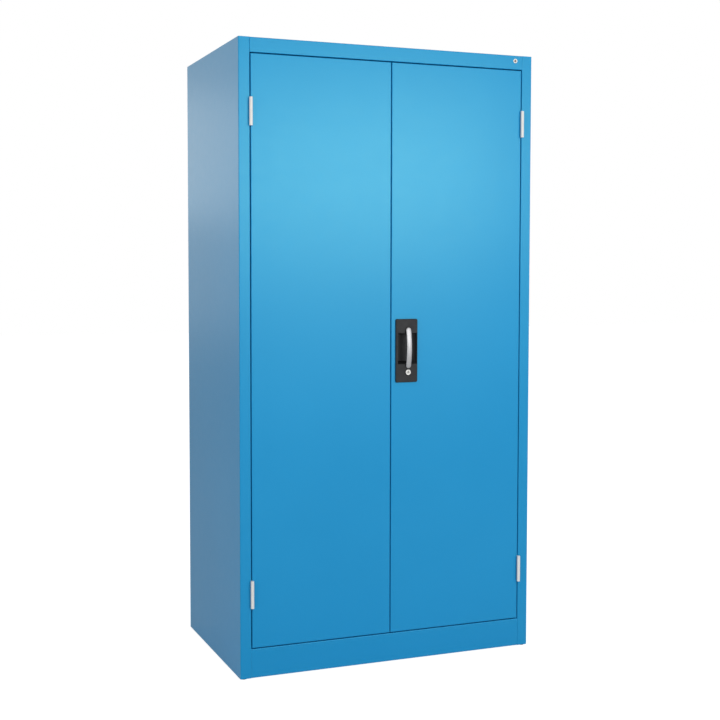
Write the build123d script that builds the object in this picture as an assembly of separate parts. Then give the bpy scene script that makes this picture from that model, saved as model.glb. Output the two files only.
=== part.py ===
from build123d import *
import os
from math import atan, cos, pi, radians, sin, sqrt, tan

# A two-door steel tool cabinet, in millimetres. The origin is the middle of the footprint, on the floor.
# X runs to the right, Y to the back and Z up. The doors face -Y.

# Cabinet body
width = 1000.0
depth = 600.0
height = 1950.0
glide_height = 3.0
body_sheet = 1.5
bend_radius = 2.5
post_face = 35.4
rear_flange = 35.0
plinth_height = 90.0
plinth_return = 25.0
header_height = 45.0
floor_rise = 15.0
stop_lip = 15.0
flange_drop = 20.0
flange_run = 360.0
back_sheet = 1.0
seam = 0.3

# Wall anchoring holes in the back panel
anchor_hole = 9.0
anchor_spacing = 700.0
anchor_below_top = 100.0

# Doors
door_gap = 3.0
door_depth = 34.0
door_sheet = 1.2
door_lip = 15.0
door_bend = 2.0
stop_clearance = 2.0
buffer_diameter = 10.0
buffer_places = (-80.0, 80.0)

# Hat-section stiffeners and rod rails
stiffener_crown = 40.0
stiffener_flange = 12.0
rail_crown = 60.0
rail_end_gap = 3.0

# Barrel hinges
hinge_length = 85.0
hinge_barrel = 10.6
hinge_pin = 6.0
hinge_proud = 7.0
hinge_leaf = 1.8
hinge_leaf_depth = 26.0
hinge_split = 0.3
hinge_pin_reach = 36.0
hinge_upper_z = 1729.0
hinge_lower_z = 263.6
running_fit = 0.05

# Handle plate with its finger recess
plate_x = 15.0
plate_width = 75.0
plate_z = 898.2
plate_height = 201.2
plate_corner = 5.0
plate_proud = 6.0
plate_edge = 1.4
plate_wall = 2.5
plate_lap = 4.0
plate_lap_right = 2.4
recess_left = 7.0
recess_rim = 2.5
recess_bottom = 58.0
recess_height = 98.4
recess_depth = 18.5
recess_draft = 2.5
recess_floor_run = 36.0
recess_corner = 3.0
scoop_run = 0.63
scoop_rise = 0.36
dish_wall = 2.0

# Bow handle and its spindle
pivot_x = 57.0
pivot_z = 1063.9
bow_length = 129.5
bow_width = 17.0
bow_thickness = 4.0
bow_rise = 8.5
bow_edge = 1.3
bow_gap = 0.4
collar_diameter = 14.0
hub_diameter = 10.0
socket_depth = 6.0
spindle_square = 6.5
spindle_neck = 5.0
clip_diameter = 15.0
clip_mouth = 3.5
clip_thickness = 0.8
clip_land = 0.8

# Rod lock: one pinion drives three racks
gear_module = 1.5
pinion_teeth = 14
pressure_angle = 20.0
tooth_addendum = 1.2
tooth_dedendum = 1.5
tooth_backlash = 0.12
rod_width = 10.0
rod_thickness = 3.5
tongue_thickness = 3.0
lock_layer_gap = 0.3
rack_margin = 4.5
spare_teeth = 2
rod_tip_gap = 0.5
rod_tip_chamfer = 2.5
tongue_tip_gap = 0.8
front_hub_diameter = 13.0
rear_hub_diameter = 12.0
slot_clearance = 0.5

# Lock case
case_base = 1.5
case_cover = 1.2
case_clearance = 0.6
case_flare = 8.6
ear_height = 10.0
case_screw_x = 25.9
case_screw_top = 1.5
case_screw_below = 7.0
case_screw = 3.8
case_screw_head = 6.0
case_screw_head_height = 2.0
case_screw_length = 13.0
boss_diameter = 6.0
screw_clearance = 0.2
thread_clearance = 0.1

# Key cylinder
cylinder_z = 930.1
cylinder_flange = 17.0
cylinder_flange_height = 2.0
cylinder_body = 14.0
cylinder_nut_width = 19.0
cylinder_clearance = 0.4
plug_diameter = 10.0
key_slot_width = 1.4
key_slot_length = 6.5
key_slot_depth = 5.0
cam_square = 5.0
cam_hub = 12.0
cam_arm = 5.0
cam_reach = 12.3
cam_thickness = 2.5
cam_screw_head = 8.0
cam_screw_head_height = 2.2
cam_screw_shank = 3.0
cam_screw_length = 8.0
cam_window = 12.0
notch_clearance = 0.6

# Rod guides, strikes and the tongue's keeper
guide_wall = 2.5
guide_height = 20.0
guide_foot = 7.0
guide_foot_height = 2.0
guide_from_end = 80.0
guide_from_middle = 350.0
strike_length = 44.0
strike_depth = 22.0
strike_thickness = 3.0
strike_overhang = 5.0
keeper_height = 60.0
keeper_front = 10.0
keeper_rear = 5.0
keeper_thickness = 2.0

# Slotted uprights, shelves and shelf clips
upright_width = 30.0
upright_depth = 15.0
upright_from_stop = 14.0
upright_from_back = 20.0
upright_top_gap = 25.0
slot_pitch = 75.0
slot_width = 14.0
slot_height = 12.0
first_slot = 60.0
shelf_count = 4
slot_count_per_shelf = 5
shelf_sheet = 1.0
shelf_fold = 30.0
shelf_lip = 14.0
shelf_side_gap = 4.0
shelf_front_gap = 8.0
shelf_back_gap = 12.0
clip_sheet = 2.0
clip_ledge = 13.0
clip_drop = 16.0
clip_hook = 8.0
clip_play = 0.5

# Levelling glides, screwed into plates across the lower corners
glide_diameter = 20.0
glide_stud = 8.0
glide_stud_length = 16.0
glide_inset_x = 14.0
glide_inset_y = 13.0
corner_plate = 3.0
corner_plate_rise = 3.0
corner_plate_length = 34.0

# Plain disc on the header
disc_diameter = 15.0
disc_height = 1.6
disc_from_side = 61.0
disc_from_top = 17.4

# Sides of the outlines that small pieces and hinge pins, and their holes, have in place of a circle
small_sides = 8
pin_sides = 12

# Planes and heights that several pieces share
front = -depth / 2
back = depth / 2
side = width / 2
wall = side - body_sheet
base = glide_height
opening_side = side - post_face
opening_bottom = base + plinth_height
opening_top = height - header_height
floor_top = opening_bottom + floor_rise
stop_bottom = opening_top - stop_lip
stop_y = front + door_depth + stop_clearance
panel_back = back - body_sheet
panel_front = panel_back - back_sheet
door_outer = opening_side - door_gap
door_inner = door_gap / 2
door_bottom = opening_bottom + door_gap
door_top = opening_top - door_gap
hinge_x = opening_side - door_gap / 2
hinge_y = front - hinge_proud

# Depths behind the front face of the doors, from the recess back to the lock cover
dish_back = recess_depth + dish_wall
base_back = dish_back + case_base
tongue_front = base_back + lock_layer_gap
tongue_back = tongue_front + tongue_thickness
rod_front = tongue_back + lock_layer_gap
rod_back = rod_front + rod_thickness
cover_inside = rod_back + lock_layer_gap
cover_back = cover_inside + case_cover
crown_back = rod_front - lock_layer_gap

# The gearing: the racks lie around the spindle, the upper rod's on the right, the lower rod's on the left
pitch_radius = gear_module * pinion_teeth / 2
rack_pitch = pi * gear_module
rod_travel = pitch_radius * pi / 2
rack_tip = pitch_radius - tooth_addendum
rack_relief = sqrt((pitch_radius + tooth_addendum) ** 2 - rack_tip**2) + case_clearance
rack_reach = rod_travel + rack_margin
case_inside = rack_reach + case_clearance
case_outside = case_inside + case_cover
upper_rod_x = pivot_x + rack_tip + rod_width / 2
lower_rod_x = pivot_x - rack_tip - rod_width / 2
tongue_z = pivot_z + rack_tip + rod_width / 2
cam_bottom = cylinder_z - cam_reach - case_clearance


def block(low, high):
    """A rectangular solid between two opposite corners."""
    sizes = [high[i] - low[i] for i in range(3)]
    middle = [(high[i] + low[i]) / 2 for i in range(3)]
    return Pos(*middle) * Box(*sizes)


def folded(points, sheet, length, radius=bend_radius):
    """Sheet bent along a line of points, with its thickness on the left of the line, raised to a length."""
    line = FilletPolyline(*points, radius=radius)
    section = offset(line, amount=sheet, side=Side.LEFT, kind=Kind.INTERSECTION)
    return extrude(make_face(section), amount=length)


def across(part, low_x):
    """Turns a section drawn in Y and Z, and raised, into a piece that starts at low_x and runs along X."""
    return Plane.YZ.offset(low_x) * part


def seen_from_front(sketch, x, z, near, far):
    """Extrudes a sketch, drawn as seen from the front, between two depths behind the doors' front face."""
    return Pos(x, front + far, z) * Rot(X=90) * extrude(sketch, amount=far - near)


def round_bar(diameter, x, z, near, far):
    """A round bar that points to the front."""
    return seen_from_front(Circle(diameter / 2), x, z, near, far)


def upright_bar(diameter, x, y, low, high):
    """A round bar that stands between two heights."""
    return Pos(x, y, low) * extrude(Circle(diameter / 2), amount=high - low)


def small_round(diameter):
    """Outline of a small piece or hole, with its flats square to the axes and the diameter across them."""
    return RegularPolygon(diameter / 2, small_sides, major_radius=False, rotation=180 / small_sides)


def mirrored(part):
    """The same piece on the other side of the cabinet."""
    return mirror(part, about=Plane.YZ)


def group(parts):
    """Separate solids kept in one node."""
    return Compound(children=[solid for part in parts for solid in part.solids()])


def pan(size_x, size_y, rise, sheet, lip, bend):
    """A folded tray with its face on top, four walls and a return lip around the open underside."""
    outer = Pos(0, 0, rise / 2) * Box(size_x, size_y, rise)
    outer = fillet(outer.edges().group_by(Axis.Z)[-1], bend)
    inner = block(
        (sheet - size_x / 2, sheet - size_y / 2, sheet),
        (size_x / 2 - sheet, size_y / 2 - sheet, rise - sheet),
    )
    mouth = block(
        (lip - size_x / 2, lip - size_y / 2, -sheet),
        (size_x / 2 - lip, size_y / 2 - lip, 2 * sheet),
    )
    return outer - inner - mouth


# Cabinet body


def side_panel():
    """Left wall, front post, door stop and rear flange folded from one sheet."""
    line = [
        (-side + rear_flange, back),
        (-side, back),
        (-side, front),
        (-opening_side, front),
        (-opening_side, stop_y),
        (-opening_side + stop_lip, stop_y),
    ]
    panel = Pos(0, 0, base) * folded(line, body_sheet, height - base)
    lip_low = (-opening_side, stop_y - bend_radius - seam)
    lip_high = (-opening_side + 2 * stop_lip, stop_y + 2 * body_sheet)
    panel -= block((*lip_low, base - 1), (*lip_high, floor_top + seam))
    panel -= block((*lip_low, stop_bottom - seam), (*lip_high, height + 1))
    return panel - block((-wall, front + body_sheet, height - body_sheet), (*lip_high, height + 1))


def side_flanges(top):
    """The two flanges that are spot-welded to the side walls, under a sheet whose top is given."""
    flange = block(
        (-wall, -flange_run / 2, top - flange_drop),
        (body_sheet - wall, flange_run / 2, top - body_sheet / 2),
    )
    return flange + mirrored(flange)


def roof_panel():
    """Top sheet with the header, the upper door stop and the rear and side flanges."""
    span = opening_side - seam
    header_line = [
        (front + plinth_return, height),
        (front, height),
        (front, opening_top),
        (stop_y, opening_top),
        (stop_y, stop_bottom),
    ]
    header = folded(header_line, body_sheet, 2 * span)
    rear_span = side - rear_flange - seam
    rear = folded(
        [(back, height - flange_drop), (back, height), (back - plinth_return, height)],
        body_sheet,
        2 * rear_span,
    )
    sheet = block((-wall, front + body_sheet, height - body_sheet), (wall, panel_back, height))
    sheet -= block((-span, front, height - 2 * body_sheet), (span, front + bend_radius, height + 1))
    sheet -= block((-rear_span, back - bend_radius, height - 2 * body_sheet), (rear_span, back, height + 1))
    corners = sheet.edges().filter_by(Axis.Z).filter_by(lambda edge: abs(edge.center().X) > wall - 1)
    sheet = fillet(corners, bend_radius - body_sheet)
    roof = sheet + across(header, -span) + across(rear, -rear_span)
    roof += side_flanges(height)
    return roof - rod_slot(upper_rod_x, opening_top - 1, opening_top + 2 * body_sheet)


def rod_slot(x, low, high):
    """The slot that a rod passes through, between two heights."""
    reach = rod_width / 2 + slot_clearance
    return block(
        (x - reach, front + rod_front - slot_clearance, low),
        (x + reach, front + rod_back + slot_clearance, high),
    )


def floor_panel():
    """Raised floor with the lower door stop, standing on a strip behind the plinth."""
    span = opening_side - seam
    strip_top = opening_bottom - body_sheet
    sill = folded(
        [
            (stop_y + plinth_return, floor_top),
            (stop_y, floor_top),
            (stop_y, strip_top),
            (front + bend_radius + seam, strip_top),
        ],
        body_sheet,
        2 * span,
    )
    sheet_front = stop_y + bend_radius + body_sheet
    sheet = block((-wall, sheet_front, floor_top - body_sheet), (wall, panel_front, floor_top))
    floor = sheet + across(sill, -span)
    rear_low = (-wall, panel_front - body_sheet, floor_top - flange_drop)
    floor += block(rear_low, (wall, panel_front, floor_top - body_sheet / 2))
    floor += side_flanges(floor_top)
    return floor - rod_slot(lower_rod_x, strip_top - 2 * body_sheet, strip_top + 1)


def plinth():
    """Folded channel that closes the front below the doors."""
    span = opening_side - seam
    channel = folded(
        [
            (stop_y - bend_radius - seam, opening_bottom),
            (front, opening_bottom),
            (front, base),
            (front + plinth_return, base),
        ],
        body_sheet,
        2 * span,
    )
    slot = rod_slot(lower_rod_x, opening_bottom - 2 * body_sheet, opening_bottom + 1)
    return across(channel, -span) - slot


def back_panel():
    """Flat sheet behind the shelves, with two holes for anchoring the cabinet to a wall."""
    reach = side - bend_radius
    sheet = block((-reach, panel_front, base), (reach, panel_back, height - bend_radius))
    for x in (-anchor_spacing / 2, anchor_spacing / 2):
        hole = round_bar(anchor_hole, x, height - anchor_below_top, depth - 3 * body_sheet, depth)
        sheet -= hole
    return sheet


def strike(x, low):
    """Small plate that stiffens the slot of one rod."""
    rear = front + rod_back + strike_overhang
    plate = block(
        (x - strike_length / 2, rear - strike_depth, low),
        (x + strike_length / 2, rear, low + strike_thickness),
    )
    return plate - rod_slot(x, low - 1, low + strike_thickness + 1)


def glide_places():
    """Centres of the four glides, seen from above."""
    return [(sx * (side - glide_inset_x), sy * (back - glide_inset_y)) for sx in (-1, 1) for sy in (-1, 1)]


def corner_plates():
    """Four plates welded across the lower corners, each with a threaded hole for a glide's stud."""
    plates = []
    plate_bottom = base + corner_plate_rise
    inner = opening_side + body_sheet
    for x, y in glide_places():
        rear_y = stop_y if y < 0 else panel_front
        front_y = front + body_sheet if y < 0 else panel_front - corner_plate_length
        low_x, high_x = sorted((wall if x > 0 else -wall, inner if x > 0 else -inner))
        plate = block((low_x, front_y, plate_bottom), (high_x, rear_y, plate_bottom + corner_plate))
        plate = chamfer(plate.edges().filter_by(Axis.Z), bend_radius)
        hole = extrude(small_round(glide_stud + 2 * thread_clearance), amount=floor_top)
        plates.append(plate - Pos(x, y) * hole)
    return group(plates)


def levelling_glides():
    """Four glides with their studs."""
    glides = []
    plate_bottom = base + corner_plate_rise
    for x, y in glide_places():
        foot = extrude(small_round(glide_diameter), amount=plate_bottom)
        stud = extrude(small_round(glide_stud), amount=plate_bottom + glide_stud_length)
        glides.append(Pos(x, y) * (foot + stud))
    return group(glides)


def header_disc():
    """Plain disc on the header."""
    return round_bar(disc_diameter, side - disc_from_side, height - disc_from_top, -disc_height, 0)


def door_buffers():
    """Rubber buffers on the upper and lower door stops, clear of the rods."""
    buffers = []
    outline = small_round(buffer_diameter)
    far = door_depth + stop_clearance
    upper_z = stop_bottom + (stop_lip - bend_radius) / 2
    lower_z = opening_bottom + (floor_rise - bend_radius) / 2
    for z in (upper_z, lower_z):
        buffers += [seen_from_front(outline, x, z, door_depth, far) for x in buffer_places]
    return group(buffers)


# Shelves


def slot_heights():
    """Lower edges of the slots in an upright."""
    room = height - upright_top_gap - floor_top - first_slot
    return [floor_top + first_slot + i * slot_pitch for i in range(int(room // slot_pitch))]


def upright_places():
    """Front edge of each upright on the left wall, from front to back."""
    return (stop_y + upright_from_stop, panel_front - upright_from_back - upright_width)


def shelf_levels():
    """Lower edge of each shelf, on the ledges of its clips."""
    heights = slot_heights()
    return [heights[(i + 1) * slot_count_per_shelf - 1] + clip_sheet for i in range(shelf_count)]


def upright(front_y):
    """Channel with a row of slots that stands on the floor against the left wall."""
    web_x = upright_depth - wall
    rear_y = front_y + upright_width
    line = [(-wall, front_y), (web_x, front_y), (web_x, rear_y), (-wall, rear_y)]
    channel = folded(line, body_sheet, height - upright_top_gap - floor_top, radius=0)
    middle = front_y + upright_width / 2
    slots = [
        block(
            (web_x - 2 * body_sheet, middle - slot_width / 2, z),
            (web_x + body_sheet, middle + slot_width / 2, z + slot_height),
        )
        for z in slot_heights()
    ]
    return Pos(0, 0, floor_top) * channel - slots


def shelf(level):
    """Folded shelf that lies on four clips."""
    half = wall - upright_depth - shelf_side_gap
    shelf_front = stop_y + shelf_front_gap
    shelf_back = panel_front - shelf_back_gap
    tray = pan(2 * half, shelf_back - shelf_front, shelf_fold, shelf_sheet, shelf_lip, bend_radius)
    return Pos(0, (shelf_front + shelf_back) / 2, level) * tray


def shelf_clips(level):
    """The four clips of one shelf, hooked into the slots of the uprights."""
    behind = body_sheet + clip_play
    outline = [
        (-behind - clip_sheet, -clip_hook),
        (-behind, -clip_hook),
        (-behind, 0),
        (0, 0),
        (0, -clip_drop),
        (clip_sheet, -clip_drop),
        (clip_sheet, 0),
        (clip_ledge, 0),
        (clip_ledge, clip_sheet),
        (-behind - clip_sheet, clip_sheet),
    ]
    tab = slot_width - 2 * clip_play
    tongue = Rot(X=90) * extrude(make_face(Polyline(*outline, close=True)), amount=tab)
    clips = []
    for front_y in upright_places():
        rear_y = front_y + (upright_width + tab) / 2
        clip = Pos(upright_depth - wall, rear_y, level - clip_sheet) * tongue
        clips += [clip, mirrored(clip)]
    return group(clips)


# Hinges


def hinge_heights():
    """Middle heights of the two hinges of a door."""
    return (hinge_lower_z, hinge_upper_z)


def knuckle_length():
    """Length of each half of a hinge barrel."""
    return (hinge_length - hinge_split) / 2


def hinge_half(leaf_low, leaf_high, low):
    """One knuckle of a left hinge with its leaf, which runs back through the door gap."""
    high = low + knuckle_length()
    knuckle = upright_bar(hinge_barrel, -hinge_x, hinge_y, low, high)
    return knuckle + block((leaf_low, hinge_y, low), (leaf_high, front + hinge_leaf_depth, high))


def frame_hinges():
    """Lower knuckles of the two left hinges, welded to the post, with their pins."""
    halves = []
    pin = extrude(RegularPolygon(hinge_pin / 2, pin_sides), amount=hinge_length / 4 + hinge_pin_reach)
    for z in hinge_heights():
        half = hinge_half(-opening_side, hinge_leaf - opening_side, z - hinge_length / 2)
        halves.append(half + Pos(-hinge_x, hinge_y, z - hinge_length / 4) * pin)
    return group(halves)


def door_hinges():
    """Upper knuckles of the two left hinges, welded to the door and bored for the pins."""
    halves = []
    outline = RegularPolygon(hinge_pin / 2 + running_fit, pin_sides, major_radius=False)
    bore = extrude(outline, amount=hinge_pin_reach + hinge_split)
    for z in hinge_heights():
        half = hinge_half(-door_outer - hinge_leaf, -door_outer, z + hinge_split / 2)
        halves.append(half - Pos(-hinge_x, hinge_y, z) * bore)
    return group(halves)


# Doors


def door_pan():
    """Left door: a folded pan, open to the inside of the cabinet."""
    tray = pan(door_outer - door_inner, door_top - door_bottom, door_depth, door_sheet, door_lip, door_bend)
    middle = (-(door_outer + door_inner) / 2, front + door_depth, (door_bottom + door_top) / 2)
    return Pos(*middle) * Rot(X=90) * tray


def tongue_slot():
    """Room for the centre tongue through the edges of both doors."""
    reach = rod_width / 2 + slot_clearance
    return block(
        (-door_inner - door_depth, front + tongue_front - slot_clearance, tongue_z - reach),
        (door_inner + 2 * door_sheet, front + tongue_back + slot_clearance, tongue_z + reach),
    )


def left_door():
    """Left door with the slot that takes the centre tongue."""
    return door_pan() - tongue_slot()


def right_door():
    """Right door with openings for the handle plate, the rods and the tongue."""
    door = mirrored(door_pan()) - tongue_slot()
    opening_right = plate_x + plate_width - plate_lap_right
    door -= block(
        (plate_x + plate_lap, front - 1, plate_z + plate_lap),
        (opening_right, front + 2 * door_sheet, plate_z + plate_height - plate_lap),
    )
    door -= rod_slot(upper_rod_x, door_top - 2 * door_sheet, door_top + 1)
    return door - rod_slot(lower_rod_x, door_bottom - 1, door_bottom + 2 * door_sheet)


def hat_rail(x, crown, low, high):
    """Hat-section rail welded to the inside of a door skin."""
    skin = front + door_sheet
    crown_y = front + crown_back - door_sheet
    half = crown / 2
    line = [
        (x - half - stiffener_flange, skin + door_sheet),
        (x - half, skin + door_sheet),
        (x - half, crown_y + door_sheet),
        (x + half, crown_y + door_sheet),
        (x + half, skin + door_sheet),
        (x + half + stiffener_flange, skin + door_sheet),
    ]
    line.reverse()
    return Pos(0, 0, low) * folded(line, door_sheet, high - low, radius=0)


def door_stiffener():
    """Stiffener down the middle of the left door."""
    low = door_bottom + door_sheet + rail_end_gap
    high = door_top - door_sheet - rail_end_gap
    return hat_rail(-(door_outer + door_inner) / 2, stiffener_crown, low, high)


def upper_rail():
    """Rail above the lock, which carries the upper rod's guides."""
    low = pivot_z + case_outside + rail_end_gap
    return hat_rail(pivot_x, rail_crown, low, door_top - door_sheet - rail_end_gap)


def lower_rail():
    """Rail below the lock, which carries the lower rod's guides."""
    return hat_rail(pivot_x, rail_crown, door_bottom + door_sheet + rail_end_gap, plate_z)


def rod_guide(x, z):
    """Plastic saddle that holds a rod against its rail."""
    inside = rod_width / 2 + lock_layer_gap
    outside = inside + guide_wall
    seat = front + crown_back
    top = z + guide_height
    saddle = block((x - outside, seat, z), (x + outside, front + cover_inside + guide_wall, top))
    saddle = chamfer(saddle.edges().group_by(Axis.Y)[-1].filter_by(Axis.Z), guide_wall / 2)
    reach = outside + guide_foot
    foot = block((x - reach, seat, z), (x + reach, seat + guide_foot_height, top))
    foot = chamfer(foot.edges().filter_by(Axis.Y), guide_wall)
    channel = block((x - inside, front, z - 1), (x + inside, front + cover_inside, top + 1))
    return saddle + foot - channel


def rod_guides():
    """Two guides for each rod."""
    return group(
        [
            rod_guide(upper_rod_x, door_top - guide_from_end),
            rod_guide(upper_rod_x, pivot_z + guide_from_middle),
            rod_guide(lower_rod_x, door_bottom + guide_from_end),
            rod_guide(lower_rod_x, cylinder_z - guide_from_middle),
        ]
    )


def tongue_keeper():
    """Plate that stiffens the tongue's slot inside the left door's edge."""
    inner_x = -door_inner - door_sheet
    plate = block(
        (inner_x - keeper_thickness, front + tongue_front - keeper_front, tongue_z - keeper_height / 2),
        (inner_x, front + tongue_back + keeper_rear, tongue_z + keeper_height / 2),
    )
    return plate - tongue_slot()


# Handle plate


def plate_outline(inset):
    """Outline of the handle plate, taken in by a distance."""
    return RectangleRounded(plate_width - 2 * inset, plate_height - 2 * inset, plate_corner - inset)


def recess_section():
    """The finger recess seen from above: a steep left wall, a floor and a scooped right side."""
    left = plate_x + recess_left
    right = plate_x + plate_width - recess_rim
    floor_left = left + recess_draft
    floor_right = floor_left + recess_floor_run
    mouth = front - plate_proud
    floor = front + recess_depth
    scoop = (floor_right + scoop_run * (right - floor_right), floor - scoop_rise * (floor - mouth))
    edges = [
        Line((left, mouth), (floor_left, floor)),
        Line((floor_left, floor), (floor_right, floor)),
        ThreePointArc((floor_right, floor), scoop, (right, mouth)),
        Line((right, mouth), (left, mouth)),
    ]
    return make_face(edges)


def case_screw_places():
    """Centres of the four case screws, seen from the front."""
    heights = (pivot_z + case_screw_top, cylinder_z - case_screw_below)
    return [(pivot_x + s * case_screw_x, z) for s in (-1, 1) for z in heights]


def handle_plate():
    """Moulded plate with a finger recess, screw bosses and bores for the hub and the key cylinder."""
    middle_x = plate_x + plate_width / 2
    middle_z = plate_z + plate_height / 2
    low = plate_z + recess_bottom
    slab = seen_from_front(plate_outline(0), middle_x, middle_z, -plate_proud, 0)
    slab = chamfer(slab.edges().group_by(Axis.Y)[0], plate_edge)
    slab -= seen_from_front(plate_outline(plate_wall), middle_x, middle_z, plate_wall - plate_proud, 1)
    section = recess_section()
    dish = extrude(offset(section, dish_wall), amount=recess_height + 2 * dish_wall)
    dish = Pos(0, 0, low - dish_wall) * dish & block(
        (plate_x + plate_edge, front - plate_proud + plate_edge, plate_z),
        (plate_x + plate_width - plate_edge, front + dish_back, plate_z + plate_height),
    )
    plate = slab + dish
    for x, z in case_screw_places():
        plate += seen_from_front(small_round(boss_diameter), x, z, -plate_proud + plate_wall / 2, dish_back)
    hub_boss = small_round(cylinder_flange)
    plate += seen_from_front(hub_boss, pivot_x, pivot_z, -plate_proud + plate_wall / 2, 0)
    recess = Pos(0, 0, low) * extrude(section, amount=recess_height)
    recess = fillet(recess.edges().filter_by(Axis.Z).sort_by(Axis.Y)[-2], recess_corner)
    plate -= recess
    plate -= round_bar(hub_diameter + 2 * running_fit, pivot_x, pivot_z, -2 * plate_proud, plate_proud)
    cylinder_bore = cylinder_body + cylinder_clearance
    plate -= round_bar(cylinder_bore, pivot_x, cylinder_z, -2 * plate_proud, plate_proud)
    hole = small_round(case_screw + 2 * thread_clearance)
    hole_depth = case_screw_length - case_screw_head_height
    for x, z in case_screw_places():
        plate -= seen_from_front(hole, x, z, base_back - hole_depth, base_back)
    return plate


# Bow handle


def bow_handle():
    """Arched strap with rounded ends, a collar and a hub with a square socket."""
    top = pivot_z + bow_width / 2
    bottom = top - bow_length
    middle = (top + bottom) / 2
    near = -plate_proud - bow_gap
    under = front + near
    arc = [(under, bottom), (under - bow_rise, middle), (under, top)]
    outer = [(y - bow_thickness, z) for y, z in arc]
    edges = [
        ThreePointArc(*arc),
        Line(arc[2], outer[2]),
        ThreePointArc(*reversed(outer)),
        Line(outer[0], arc[0]),
    ]
    band = across(extrude(make_face(edges), amount=bow_width), pivot_x - bow_width / 2)
    outline = Rot(Z=90) * SlotOverall(bow_length, bow_width)
    strap = band & seen_from_front(outline, pivot_x, middle, near - bow_rise - 2 * bow_thickness, 0)
    long_edges = [edge for edge in strap.edges() if edge.length > bow_length / 2]
    outer_edges = ShapeList(long_edges).sort_by(Axis.Y)[:2]
    strap = chamfer(outer_edges, bow_edge)
    collar = round_bar(collar_diameter, pivot_x, pivot_z, near - bow_thickness, near)
    hub = round_bar(hub_diameter, pivot_x, pivot_z, near - bow_thickness / 2, 0)
    return strap + collar + hub - square_bore(-socket_depth, 1)


def square_bore(near, far):
    """The square hole that the spindle fits, between two depths behind the doors' front face."""
    width = spindle_square + 2 * running_fit
    return seen_from_front(Rectangle(width, width), pivot_x, pivot_z, near, far)


def spindle():
    """Square bar from the handle's socket to the clip behind the lock cover."""
    shoulder = cover_back + running_fit
    neck_end = shoulder + clip_thickness + clip_land
    square = Rectangle(spindle_square, spindle_square)
    bar = seen_from_front(square, pivot_x, pivot_z, running_fit - socket_depth, shoulder)
    neck = seen_from_front(small_round(spindle_neck), pivot_x, pivot_z, shoulder, neck_end)
    return bar + neck


def spindle_clip():
    """Open ring that keeps the spindle in the case."""
    ring = small_round(clip_diameter) - small_round(spindle_neck + 2 * running_fit)
    ring -= Pos(0, -clip_diameter / 2) * Rectangle(clip_mouth, clip_diameter)
    near = cover_back + 2 * running_fit
    return seen_from_front(ring, pivot_x, pivot_z, near, near + clip_thickness)


# Rod lock


def involute(radius):
    """Involute function of the flank angle at a radius."""
    base_radius = pitch_radius * cos(radians(pressure_angle))
    slope = sqrt(max(0, (radius / base_radius) ** 2 - 1))
    return slope - atan(slope)


def flank_point(radius, tooth_angle, hand):
    """Point on one flank of a tooth that is centred on an angle."""
    half_pitch = (rack_pitch / 2 - tooth_backlash) / (2 * pitch_radius)
    half = half_pitch + involute(pitch_radius) - involute(radius)
    angle = tooth_angle + hand * half
    return (radius * cos(angle), radius * sin(angle))


def pinion_outline():
    """Pinion with a tooth that points to the right, its involute flanks drawn through three points each."""
    base_radius = pitch_radius * cos(radians(pressure_angle))
    root_share = (pitch_radius - tooth_dedendum) / base_radius
    radii = (base_radius, pitch_radius, pitch_radius + tooth_addendum)
    outline = []
    for i in range(pinion_teeth):
        angle = 2 * pi * i / pinion_teeth
        right = [flank_point(radius, angle, -1) for radius in radii]
        left = [flank_point(radius, angle, 1) for radius in reversed(radii)]
        right_foot, left_foot = [(x * root_share, y * root_share) for x, y in (right[0], left[-1])]
        outline += [right_foot, *right, *left, left_foot]
    return make_face(Polyline(*outline, close=True))


def drive_pinion():
    """Pinion with a hub at each side, which turn in the case, and a square bore."""
    gear = seen_from_front(pinion_outline(), pivot_x, pivot_z, tongue_front, rod_back)
    gear += round_bar(front_hub_diameter, pivot_x, pivot_z, dish_back + running_fit, tongue_front)
    gear += round_bar(rear_hub_diameter, pivot_x, pivot_z, rod_back, cover_back)
    return gear - square_bore(0, cover_back + 1)


def rack_bar(low, high, last):
    """Toothed bar along X, seen from the front, with the pinion's centre at the origin and the teeth below.

    The bar runs from low to high. The middle of the last tooth is at last, counted in pitches.
    """
    slope = tan(radians(pressure_angle))
    half = (rack_pitch / 2 - tooth_backlash) / 2
    root = pitch_radius + tooth_dedendum
    half_tip = half - tooth_addendum * slope
    half_root = half + tooth_dedendum * slope
    bar_low, bar_high = root, rack_tip + rod_width
    bar = Pos((low + high) / 2, (bar_low + bar_high) / 2) * Rectangle(high - low, bar_high - bar_low)
    for i in range(int(rod_travel / rack_pitch) + spare_teeth):
        middle = (last - i) * rack_pitch
        corners = [
            (middle - half_tip, rack_tip),
            (middle + half_tip, rack_tip),
            (middle + half_root, root),
            (middle - half_root, root),
        ]
        bar += make_face(Polyline(*corners, close=True))
    return bar


def plain_bar(low, high):
    """The part of a rod beyond its rack, as wide as the teeth and the bar together."""
    return Pos((low + high) / 2, rack_tip + rod_width / 2) * Rectangle(high - low, rod_width)


def rack_phase(quarter_turns):
    """Middle of the last tooth of a rack, in pitches, at a place around the pinion counted from the right."""
    return (0.5 + quarter_turns * pinion_teeth / 4) % 1


def upper_rod():
    """Rod to the header, driven by a rack to the right of the pinion."""
    length = door_top - rod_tip_gap - pivot_z
    bar = rack_bar(-rack_reach, rack_relief, rack_phase(0)) + plain_bar(rack_relief, length)
    bar = chamfer(bar.vertices().group_by(Axis.X)[-1], rod_tip_chamfer)
    outline = Rot(Z=90) * mirror(bar, about=Plane.XZ)
    return seen_from_front(outline, pivot_x, pivot_z, rod_front, rod_back)


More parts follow.
